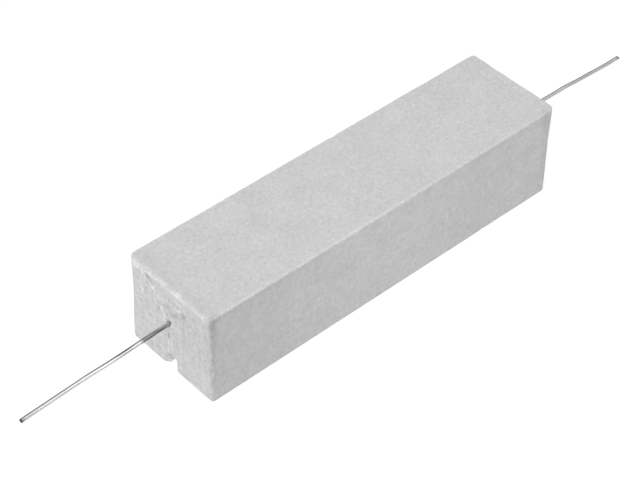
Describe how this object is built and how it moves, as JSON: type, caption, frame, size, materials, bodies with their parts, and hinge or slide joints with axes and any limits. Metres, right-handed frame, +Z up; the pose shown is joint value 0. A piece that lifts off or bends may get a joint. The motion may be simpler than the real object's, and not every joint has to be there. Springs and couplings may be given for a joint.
{
  "type": "power resistor",
  "caption": "Axial wire-wound power resistor: a slotted ceramic block case filled with cement, with a round tinned lead out of the middle of each end.",
  "frame": {"origin": "middle of the case's open rim, the plane that the resistor stands on", "axes": "+X along the case towards the lead with more bends, +Y across it, +Z up to the closed face"},
  "size_m": [0.0856, 0.013, 0.0115],
  "materials": {
    "ceramic_case": "matte",
    "cement_fill": "matte",
    "core_rod": "matte",
    "resistance_winding": "satin",
    "end_caps": "satin",
    "leads": "gloss"
  },
  "bodies": {
    "root": {"ceramic_case": "ceramic_case", "cement_fill": "cement_fill", "core_rod": "core_rod", "resistance_winding": "resistance_winding", "left_end_cap": "end_caps", "right_end_cap": "end_caps", "left_lead": "leads", "right_lead": "leads"}
  },
  "joints": []
}
